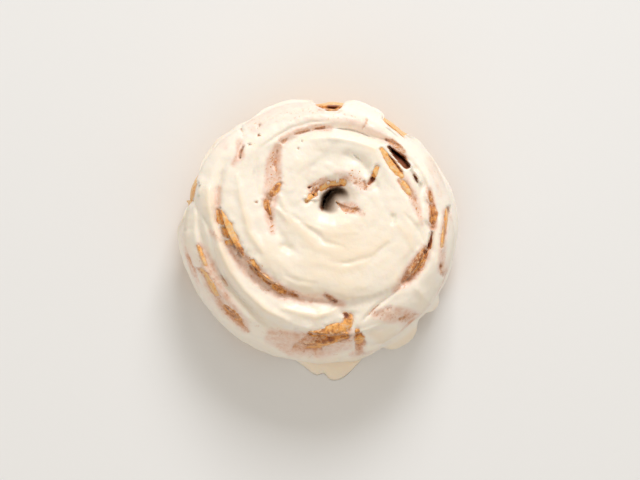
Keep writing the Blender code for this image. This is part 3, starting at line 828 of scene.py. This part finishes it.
class ROLL_OT_dough(bpy.types.Operator):
    """Rolls up the strip of baked dough, with the wrinkled crust that shows through the icing"""

    bl_idname = "roll.dough"
    bl_label = "Baked Dough"

    def execute(self, context):
        sizes = context.scene.roll_sizes
        around = CROWN_CELLS + 2 * WALL_CELLS + FLOOR_CELLS
        bm, column, row = grid_mesh(DOUGH_ROWS, around)
        number_points(bm)
        turn = mix(FIRST_TURN, STRIP_END, column / DOUGH_ROWS)
        width = 0.8 * sizes.filling_thick
        row = row % around
        on_crown = row <= CROWN_CELLS
        down = (row - CROWN_CELLS) / WALL_CELLS
        under = (row - CROWN_CELLS - WALL_CELLS) / FLOOR_CELLS
        up = (row - CROWN_CELLS - WALL_CELLS - FLOOR_CELLS) / WALL_CELLS
        q = np.clip(np.where(up > 0, 1 - up, down), 0, 1)
        u = np.where(on_crown, 2.0 * row / CROWN_CELLS - 1, np.where(up > 0, -1.0, 1.0))
        inner, outer, bulge = edges(turn, np.where(on_crown, 0, q), width)
        crown_r = inner + (outer - bulge - inner) * 0.5 * (u + 1)
        inner_closed = shut(turn, -1.0 + 0 * u, *place(turn, inner))
        outer_closed = shut(turn, 1.0 + 0 * u, *place(turn, outer))
        crown_z = crown_height(turn, u, shut(turn, u, *place(turn, crown_r)))
        swell = smooth(turn, SIDE_SWELL) * ramp(q, 0.05, 0.5)
        outer_r = outer - bulge * (q / WIDEST - 1) ** 2 + swell * (1 - ramp(q, 0.6, 1.2))
        inner_z = crown_height(turn, -1.0, inner_closed) * (1 - q)
        outer_z = crown_height(turn, 1.0, outer_closed) * (1 - q)
        floor_r = mix(outer_r, inner, np.clip(under, 0, 1))
        r = np.where(on_crown, crown_r, np.where(up > 0, inner, np.where(down <= 1, outer_r, floor_r)))
        z = np.where(on_crown, crown_z, np.where(up > 0, inner_z, np.where(down <= 1, outer_z, 0.0)))
        x, y = place(turn, r)
        wrinkle = 0.6 * lumps(x, y, z, 0.0016, 11) + lumps(x, y, z, 0.0045, 12)
        crag = np.abs(lumps(x, y, z, 0.0024, 13)) - 0.4
        dark = inside(x, y, DARK_STROKES)
        exposed = inside(x, y, BARE_STROKES, 0.0004) * np.where(on_crown, 1, 0)
        relief = sizes.crust_relief * (wrinkle + 1.6 * exposed * crag) * ramp(z, 0.0, 0.004)
        puffed = sizes.crust_puff * exposed * (1 - dark) * np.where(turn > 360, 1, 0)
        z = np.maximum(z + (relief + puffed) * np.where(on_crown, 1, 0), 0)
        side = np.where(~on_crown & (down <= 1) & (turn >= RIM_START), 1, 0)
        r = r + relief * side * 1.6 - 0.0004 * side
        x, y = place(turn, r)
        move_points(bm, np.stack([x, y, z], axis=1))
        close_and_turn_out(bm)
        seam = np.where(turn >= RIM_START, 1 + u, 1 - np.abs(u)) * 0.5 * (outer - inner)
        near_top = np.where(on_crown, 1, 1 - ramp(q, 0.02, 0.14))
        # How brown each point is, from 0 for pale to 1 for dark
        bake = 0.32 + 0.30 * np.exp(-np.maximum(seam, 0) / 0.0012)
        bake = mix(bake, 0.16, 0.9 * near_top * inside(x, y, GOLD_STROKES))
        bake = mix(bake, 0.72, 0.8 * near_top * inside(x, y, BROWN_STROKES))
        bake = mix(bake, 0.98, near_top * dark)
        outside = ~on_crown & (down <= 1) & (turn >= STRIP_END - 360.0)
        bake = np.where(outside, 0.10 + 0.25 * ramp(z, 0.022, 0.034) + 0.3 * (1 - ramp(z, 0, 0.006)), bake)
        bake = np.where((turn < 360) & (u < -0.99), 0.9, bake)
        material = baked_crust(context.scene.roll_colours)
        piece = add_piece(context, "baked_dough", bm, material, "dough")
        numbers = numbers_of(piece.data)
        paint(piece.data, "bake", bake[numbers])
        middle = inside(x, y, BARE_STROKES) * (1 - 0.4 * inside(x, y, GOLD_STROKES))
        paint(piece.data, "glaze", np.where(on_crown, mix(1.0, 0.3, middle) - 1.5 * dark, -2.0)[numbers])
        return {"FINISHED"}


FILLING_ROWS = 1500
FILLING_HEIGHTS = 6
FILLING_ACROSS = 4


class ROLL_OT_filling(bpy.types.Operator):
    """Stands the sheet of cinnamon filling between the turns, with its grainy upper edge"""

    bl_idname = "roll.filling"
    bl_label = "Cinnamon Filling"

    def execute(self, context):
        sizes = context.scene.roll_sizes
        around = 2 * FILLING_HEIGHTS + 2 * FILLING_ACROSS
        bm, column, row = grid_mesh(FILLING_ROWS, around)
        number_points(bm)
        row = row % around
        turn = mix(15.0, RIM_START - 7.5, column / FILLING_ROWS)
        half = 0.5 * sizes.filling_thick
        up = np.clip(row / FILLING_HEIGHTS, 0, 1)
        over = np.clip((row - FILLING_HEIGHTS) / FILLING_ACROSS, 0, 1)
        down = np.clip((row - FILLING_HEIGHTS - FILLING_ACROSS) / FILLING_HEIGHTS, 0, 1)
        back = np.clip((row - 2 * FILLING_HEIGHTS - FILLING_ACROSS) / FILLING_ACROSS, 0, 1)
        share = (up - down) ** 0.5
        across = 2 * (over - back) - 1
        r = strip_edge(turn) + half * across
        low = 0.0006
        x, y = place(turn, r)
        grain = lumps(x, y, 0 * x, 0.0011, 21) * 0.00035 + lumps(x, y, 0 * x, 0.0035, 22) * 0.0004
        closed = shut(turn, 1.0 + 0 * turn, *place(turn, strip_edge(turn)))
        bare = inside(x, y, BARE_STROKES[1:], 0.0004) * (1 - inside(x, y, DARK_STROKES))
        dome = mix(0.6, 0.2, bare) * half * across ** 2
        top = valley(turn) + VALLEY_DEPTH * closed + 0.0001 + grain - dome + sizes.crust_puff * bare
        top = top - 0.0022 * hump(turn, SPRUNG_SEAM[0], SPRUNG_SEAM[1])
        z = mix(low, top, share)
        move_points(bm, np.stack([x, y, z], axis=1))
        close_and_turn_out(bm)
        material = cinnamon_paste(context.scene.roll_colours)
        piece = add_piece(context, "cinnamon_filling_sheet", bm, material, "cinnamon_filling")
        tone = inside(x, y, DARK_STROKES) - 0.5 * inside(x, y, GOLD_STROKES) * (1 - inside(x, y, BROWN_STROKES))
        paint(piece.data, "tone", tone[numbers_of(piece.data)])
        return {"FINISHED"}


ICING_COLUMNS = 392
ICING_TOP_ROWS = 94
ICING_SIDE_ROWS = 28
POLE_HEIGHT = 0.0462
HOLE_DIP = 0.0100
HIGHEST = 0.0509
PINK_COVER = 0.46
FAINT_COVER = 0.68
SUNK = 0.0005
CUT_BELOW = -0.00032
SEAM_WIDE = 0.0012
# Middle and half width of the cleft between the two lobes of the pool, by compass angle
POOL_CLEFT = (273.6, 2.4)
# A run down the side so short that a bare rim ends it
SHORT_RUN = 0.09
# How steeply the icing falls into the hole, and how far the painted shade reaches round it
HOLE_FALL = 0.0024
SHADE_REACH = 0.0050
# How far crumbly icing reaches into a soft bare stroke, and how strongly marks are drawn
LACE_WIDE = 0.0032
MARK_SHARE = 1.3
# Thickness of icing that hides two thirds of the crust's colour, and what the side is taken to have more
HIDING_DEPTH = 0.00042
SIDE_HIDES = 0.0012
CREAMY_DEPTHS = (0.0017, 0.0034)
# Size of the drag marks of the spreader, which run round the swirl
DRAG_SIZE = 0.0024
# Over how much height the tallest crowns are rounded off
TOP_ROUNDING = 0.0007


def soften(values, times):
    """Evens out a grid along its columns, which run right round."""
    for _ in range(times):
        values = 0.5 * values + 0.25 * (np.roll(values, 1, axis=0) + np.roll(values, -1, axis=0))
    return values


def soften_across(values, times):
    """Evens out a grid along its rows, which run from the middle outward."""
    for _ in range(times):
        inner = np.concatenate([values[:, :1], values[:, :-1]], axis=1)
        outer = np.concatenate([values[:, 1:], values[:, -1:]], axis=1)
        values = 0.5 * values + 0.25 * (inner + outer)
    return values


def icing_base():
    """The icing's columns, as compass and rim angles, and its points on the top, as turn angle, u and distance."""
    compass = np.arange(ICING_COLUMNS) * 360.0 / ICING_COLUMNS
    rim = np.where(compass >= FIRST_TURN, compass + 1080.0, compass + 1440.0)
    _, outer, bulge = edges(rim, 0.0, SEAM_WIDE)
    reach = soften(outer - bulge, 6)
    share = np.arange(ICING_TOP_ROWS + 1) / ICING_TOP_ROWS
    r = reach[:, None] * share[None, :]
    turn = rim[:, None] + 0 * r
    for lap in (3, 2, 1, 0):
        inside_lap = compass[:, None] + 360.0 * lap
        fits = (inside_lap < RIM_START) & (r <= strip_edge(inside_lap))
        turn = np.where(fits, inside_lap, turn)
    near, far, swell = edges(turn, 0.0, SEAM_WIDE)
    u = np.clip(2 * (r - near) / np.maximum(far - swell - near, 1e-5) - 1, -1, 1)
    return compass, rim, turn, u, r


class ROLL_OT_icing(bpy.types.Operator):
    """Spreads the icing over the turns and down the side, open where the crust shows"""

    bl_idname = "roll.icing"
    bl_label = "Icing"

    def execute(self, context):
        sizes = context.scene.roll_sizes
        compass, rim, turn, u, r = icing_base()
        seam = np.where(u > 0, turn, turn - 360.0)
        fill = np.where((seam >= 0) & (seam < RIM_START), smooth(seam, VALLEY_FILL), 0)
        x, y = place(turn, r)
        closed = shut(turn, u, x, y)
        base = crown_height(turn, u, closed)
        level = soften(crown_height(turn, u, mix(closed, 1, fill)), 5)
        level = mix(soften_across(level, 3), soften_across(level, 50), soften_across(ramp(fill, 0.5, 1.0), 10))
        slide = np.maximum(gap_to(x, y, HOLE_STROKE[1]), 0)
        hole_edge = smooth(compass, HOLE_TOP)[:, None]
        across = np.clip(r / hole_edge, 0, 1)
        in_hole = 1 - ramp(r, hole_edge - 0.0012, hole_edge + 0.0010)
        bridge = mix(POLE_HEIGHT, level, across ** 2) - HOLE_DIP * np.exp(-slide / HOLE_FALL) * (1 - across ** 3)
        level = mix(level, bridge, in_hole)
        base = mix(base, bridge, in_hole)
        # Down the side
        even_run = smooth(compass, ICING_RUN) - 0.10 * hump(compass, *POOL_CLEFT)
        run = even_run * (1 + 0.05 * lumps(compass * 0.04, 0 * compass, 0 * compass, 1.0, 31))
        run = np.where(run > 1, even_run, run)
        step = np.arange(1, ICING_SIDE_ROWS + 1) / ICING_SIDE_ROWS
        q = run[:, None] * step[None, :]
        on_wall = np.minimum(q, 1)
        outer, bulge = [soften(part, 6)[:, None] for part in edges(rim, 0.0, SEAM_WIDE)[1:]]
        height = soften(valley(rim), 6)[:, None]
        wall_r = outer - bulge * (on_wall / WIDEST - 1) ** 2
        swell = np.where(compass >= FIRST_TURN, smooth(rim, SIDE_SWELL), 0)[:, None]
        wall_r = wall_r + swell * ramp(on_wall, 0.05, 0.5) * (1 - ramp(on_wall, 0.6, 1.2))
        wall_z = height * (1 - on_wall)
        hang = np.where(q > WIDEST, ramp(run, *HANGS_CLEAR)[:, None], 0)
        wall_r = wall_r + (outer - wall_r) * hang
        spread = np.maximum(q - 1, 0)
        far = np.maximum(run[:, None] - 1, 1e-6)
        ground = spread / far
        under_r = wall_r - SUNK * (1 - hang) + POOL_SPREAD * spread
        under_z = np.where(q >= 1, 0.0, wall_z)
        side_x, side_y = place(rim[:, None], wall_r)
        streak = lumps(side_x, side_y, wall_z * 0.35, 0.0035, 32)
        lip = np.where(run > 1, 1.0, 0.0)[:, None]
        close = np.sqrt(np.clip(1 - (np.maximum(step - 0.84, 0) / 0.16) ** 2, 0, 1))[None, :]
        close = mix(close, 1.0, lip)
        bead = sizes.icing_bead * hump(step, 0.82, 0.3)[None, :] * (1 - lip)
        fold = lumps(side_x, side_y, wall_z * 0.5, 0.009, 38)
        drips = sum(deep * np.sqrt(np.clip(1 - ((compass - at) / half) ** 2, 0, 1)) for at, half, deep in DRIPS)
        bead = bead + soften(drips, 1)[:, None] * hump(step, 0.78, 0.36)[None, :]
        out = (smooth(compass, SIDE_DEPTH)[:, None] + bead + 0.00025 * streak + 0.0005 * fold) * close
        out = mix(sizes.icing_depth * 0.9, out, ramp(step, 0, 0.12)[None, :])
        out_top = out * (1 - ground) + 0.0010 * ground
        top_r = wall_r + out_top + POOL_SPREAD * spread - 0.0004 * (1 - close)
        pool = POOL_THICK * np.sqrt(np.clip(1 - ground ** 2, 0, 1))
        top_z = np.where(q >= 1, pool, np.maximum(wall_z + out * (WIDEST - on_wall), pool * lip))
        # On the top
        smear = lumps(x, y, 0 * x, 0.011, 33) * 0.00050 + lumps(x, y, 0 * x, 0.0045, 34) * 0.00025
        drag = lumps(r, 32 * DRAG_SIZE * compass[:, None] / 360.0 + 0 * r, 0 * r, DRAG_SIZE, 39)
        smear = smear + 0.00024 * drag * ramp(r, 0.008, 0.018) + 0.00012 * lumps(x, y, 0 * x, 0.0023, 41)
        depth = sizes.icing_depth + smear
        for middle, half, deep in PUDDLES:
            depth = depth + deep * hump(turn, middle, half)
        depth = depth + MARK_SHARE * furrows(x, y, RIDGES)
        grooves = MARK_SHARE * furrows(x, y, CREASES)
        thick = np.concatenate([depth, out], axis=1)
        all_x = np.concatenate([x, side_x], axis=1)
        all_y = np.concatenate([y, side_y], axis=1)
        ragged = 0.0005 * lumps(all_x, all_y, 0 * all_x, 0.0013, 35)
        ragged = ragged + 0.0005 * lumps(all_x, all_y, 0 * all_x, 0.0034, 36)
        front = ramp(compass, 190, 215)[:, None]
        lowest = mix(0.08, 0.38, front)
        fade = ramp(q / lowest, 0.6, 1.3)
        on_top = np.concatenate([np.ones(u.shape), 1 - fade], axis=1)
        sparse = 0.40 * inside(all_x, all_y, SPARSE_STROKES)
        film = np.maximum(inside(all_x, all_y, STAIN_STROKES), sparse) * on_top
        thin = sizes.film_depth * (1 + 0.5 * lumps(all_x, all_y, 0 * all_x, 0.0016, 37))
        new_thick = mix(thick, thin, film)
        lace = LACE_WIDE * ramp(lumps(all_x, all_y, 0 * all_x, 0.0019, 40), 0.20, 0.65)
        for soft, points in BARE_STROKES:
            edge = gap_to(all_x, all_y, points) + ragged * ramp(soft, 0.2, 1.0) + lace * ramp(soft, 0.6, 1.1)
            rise = new_thick * (1 - np.exp(-np.maximum(edge, 0) / (soft * 0.001)))
            cut = np.where(edge > 0, rise, 1.2 * edge)
            new_thick = np.minimum(new_thick, mix(new_thick, cut, on_top))
        # Where the icing ends at a bare rim, nothing of it is left on the side
        top, side = np.s_[:, : ICING_TOP_ROWS + 1], np.s_[:, ICING_TOP_ROWS + 1 :]
        at_rim = new_thick[:, ICING_TOP_ROWS : ICING_TOP_ROWS + 1]
        ends_here = (run < SHORT_RUN)[:, None]
        new_thick[side] = np.where(ends_here, np.minimum(new_thick[side], at_rim), new_thick[side])
        lean = np.concatenate([np.where(turn >= RIM_START, ramp(u, 0.35, 1.25), 0), np.ones(q.shape)], axis=1)
        fallen = thick - new_thick
        top_thick = new_thick[top]
        lean_top = lean[top] * np.pi / 2
        surface_r = np.concatenate([r + top_thick * np.sin(lean_top), top_r - fallen[side]], axis=1)
        shallow = mix(base, level, ramp(top_thick, 0.0002, 0.0012))
        grooved = np.maximum(shallow + top_thick * np.cos(lean_top) - grooves, base + np.minimum(top_thick, 0.0006))
        surface_z = np.concatenate([grooved, top_z], axis=1)
        over = np.maximum(surface_z - HIGHEST, 0)
        surface_z = np.minimum(surface_z, HIGHEST) + TOP_ROUNDING * (1 - np.exp(-over / TOP_ROUNDING))
        inner_r = np.concatenate([r, under_r], axis=1)
        inner_z = np.concatenate([base - SUNK, under_z], axis=1)
        angle = np.where(compass >= FIRST_TURN, compass, compass + 360.0)[:, None] + 0 * surface_r
        top_x, top_y = place(angle, surface_r)
        low_x, low_y = place(angle, inner_r)
        rows = ICING_TOP_ROWS + ICING_SIDE_ROWS
        bm, column, row = grid_mesh(ICING_COLUMNS, rows)
        number_points(bm)
        column = column % ICING_COLUMNS
        tops = np.stack([part[column, row] for part in (top_x, top_y, surface_z)], axis=1)
        lows = np.stack([part[column, row] for part in (low_x, low_y, inner_z)], axis=1)
        drawn = new_thick[column, row]
        bare = drawn < CUT_BELOW
        move_points(bm, lows)
        cut_faces = [face for face in bm.faces if all(bare[vert.index] for vert in face.verts)]
        bmesh.ops.delete(bm, geom=cut_faces, context="FACES")
        bmesh.ops.remove_doubles(bm, verts=bm.verts, dist=1e-8)
        number = bm.verts.layers.int["number"]
        grown = bmesh.ops.extrude_face_region(bm, geom=list(bm.faces), use_keep_orig=True)["geom"]
        for vert in grown:
            if isinstance(vert, bmesh.types.BMVert):
                vert.co = tops[vert[number]]
        bmesh.ops.recalc_face_normals(bm, faces=bm.faces)
        opaque = np.concatenate([0 * u, np.maximum(fade, (1 - front) * ramp(q, 0, 0.04))], axis=1)
        cover = 1 - np.exp(-np.maximum(drawn + SIDE_HIDES * opaque[column, row], 0) / HIDING_DEPTH)
        tinted = (inside(all_x, all_y, PINK_STROKES) * on_top)[column, row]
        cover = np.minimum(cover, mix(1.0, PINK_COVER, tinted))
        faint = (inside(all_x, all_y, FAINT_STROKES) * on_top)[column, row]
        cover = np.minimum(cover, mix(1.0, FAINT_COVER, faint))
        stain = film[column, row]
        deep = ramp(drawn, *CREAMY_DEPTHS)
        # Painted shade on the slope into the hole, fading with distance from the hole's edge
        painted_shade = np.concatenate([np.exp(-(slide / SHADE_REACH) ** 2) * in_hole, 0 * q], axis=1)[column, row]
        material = cream_icing(context.scene.roll_colours)
        piece = add_piece(context, "icing_spread", bm, material, "icing")
        numbers = numbers_of(piece.data)
        paint(piece.data, "cover", cover[numbers])
        paint(piece.data, "cream", deep[numbers])
        paint(piece.data, "painted_shade", painted_shade[numbers])
        paint(piece.data, "stain", stain[numbers])
        return {"FINISHED"}


class ROLL_OT_flecks(bpy.types.Operator):
    """Scatters flecks of cinnamon and crust beside the bare patches"""

    bl_idname = "roll.flecks"
    bl_label = "Cinnamon Flecks"

    def execute(self, context):
        sizes = context.scene.roll_sizes
        draw = np.random.default_rng(51)
        icing = bpy.data.objects["icing_spread"]
        bm = bmesh.new()
        for count, points in FLECK_STROKES:
            spots = from_photo(points)
            for _ in range(count):
                along = draw.uniform(0, len(spots) - 1)
                first = min(int(along), len(spots) - 2)
                x, y, wide = mix(spots[first], spots[first + 1], along - first)
                x += draw.normal(0, 0.5) * wide
                y += draw.normal(0, 0.5) * wide
                size = sizes.fleck_size * draw.uniform(0.35, 1.0)
                stretch = draw.uniform(0.6, 1.4, 3) * size
                hit, spot, normal, _ = icing.ray_cast((x, y, 0.1), (0, 0, -1))
                if not hit or normal.z < 0.3:
                    continue
                made = bmesh.ops.create_icosphere(bm, subdivisions=1, radius=1.0)["verts"]
                for vert in made:
                    vert.co *= draw.uniform(0.75, 1.1)
                    vert.co = (vert.co.x * stretch[0], vert.co.y * stretch[1], vert.co.z * stretch[2] * 0.5)
                    vert.co += spot
        bmesh.ops.recalc_face_normals(bm, faces=bm.faces)
        material = cinnamon_paste(context.scene.roll_colours)
        material.name = "cinnamon_fleck"
        add_piece(context, "cinnamon_flecks", bm, material, None)
        return {"FINISHED"}


FLOOR_HALF = 1.5
CAMERA_LENS = 250.0
SENSOR = 36.0
FOCUS_HEIGHT = 0.034
# Soft lights: name, place, size, watts and colour
LIGHTS = (
    ("window", (0.30, 1.45, 1.20), 0.70, 22.5, "#fffefd"),
    ("fill", (-0.50, -1.00, 1.60), 1.40, 4.0, "#fff6ea"),
)
ROOM_COLOUR = "#fbf3e6"
ROOM_STRENGTH = 0.60


def add_light(context, name, spot, size, watts, colour):
    """A square soft light aimed at the roll."""
    light = bpy.data.lights.new(name, "AREA")
    light.shape = "SQUARE"
    light.size = size
    light.energy = watts
    light.color = linear(colour)
    lamp = bpy.data.objects.new(name, light)
    lamp.location = spot
    lamp.rotation_mode = "QUATERNION"
    lamp.rotation_quaternion = (-lamp.location).to_track_quat("-Z", "Y")
    context.scene.collection.objects.link(lamp)


class ROLL_OT_stage(bpy.types.Operator):
    """Lays the plain floor and sets the soft lights and the camera, which looks straight down"""

    bl_idname = "roll.stage"
    bl_label = "Floor, Lights and Camera"

    def execute(self, context):
        scene = context.scene
        bm = bmesh.new()
        bmesh.ops.create_grid(bm, x_segments=1, y_segments=1, size=FLOOR_HALF)
        mesh = bpy.data.meshes.new("floor")
        bm.to_mesh(mesh)
        bm.free()
        mesh.materials.append(plain_floor(scene.roll_colours))
        floor = bpy.data.objects.new("floor", mesh)
        scene.collection.objects.link(floor)
        for name, spot, size, watts, colour in LIGHTS:
            add_light(context, name, spot, size, watts, colour)
        world = bpy.data.worlds.new("soft_room")
        world.use_nodes = True
        sky = world.node_tree.nodes["Background"]
        sky.inputs["Color"].default_value = (*linear(ROOM_COLOUR), 1.0)
        sky.inputs["Strength"].default_value = ROOM_STRENGTH
        scene.world = world
        scene.view_settings.view_transform = "Standard"
        lens = bpy.data.cameras.new("overhead")
        lens.lens = CAMERA_LENS
        lens.sensor_width = SENSOR
        camera = bpy.data.objects.new("overhead", lens)
        wide = FRAME_WIDE * PHOTO_PIXEL
        away = wide * CAMERA_LENS / SENSOR
        lens.clip_end = 2 * away
        camera.location = (
            (FRAME_WIDE / 2 - PHOTO_MIDDLE[0]) * PHOTO_PIXEL,
            (PHOTO_MIDDLE[1] - FRAME_HIGH / 2) * PHOTO_PIXEL,
            FOCUS_HEIGHT + away,
        )
        scene.collection.objects.link(camera)
        scene.camera = camera
        return {"FINISHED"}


class VIEW3D_PT_cinnamon_roll(bpy.types.Panel):
    bl_label = "Cinnamon Roll"
    bl_space_type = "VIEW_3D"
    bl_region_type = "UI"
    bl_category = "Cinnamon Roll"

    def draw(self, context):
        for group in (context.scene.roll_sizes, context.scene.roll_colours):
            for name in group.bl_rna.properties.keys():
                if name not in ("rna_type", "name"):
                    self.layout.prop(group, name)
        for operator in PIECES:
            self.layout.operator(operator.bl_idname)


PIECES = (ROLL_OT_dough, ROLL_OT_filling, ROLL_OT_icing, ROLL_OT_flecks, ROLL_OT_stage)
CLASSES = (RollSizes, RollColours, *PIECES, VIEW3D_PT_cinnamon_roll)


def register():
    for one in CLASSES:
        bpy.utils.register_class(one)
    bpy.types.Scene.roll_sizes = bpy.props.PointerProperty(type=RollSizes)
    bpy.types.Scene.roll_colours = bpy.props.PointerProperty(type=RollColours)


def unregister():
    del bpy.types.Scene.roll_colours
    del bpy.types.Scene.roll_sizes
    for one in reversed(CLASSES):
        bpy.utils.unregister_class(one)


def main():
    register()
    bpy.ops.roll.dough()
    bpy.ops.roll.filling()
    bpy.ops.roll.icing()
    bpy.ops.roll.flecks()
    bpy.ops.roll.stage()


if __name__ == "__main__":
    main()
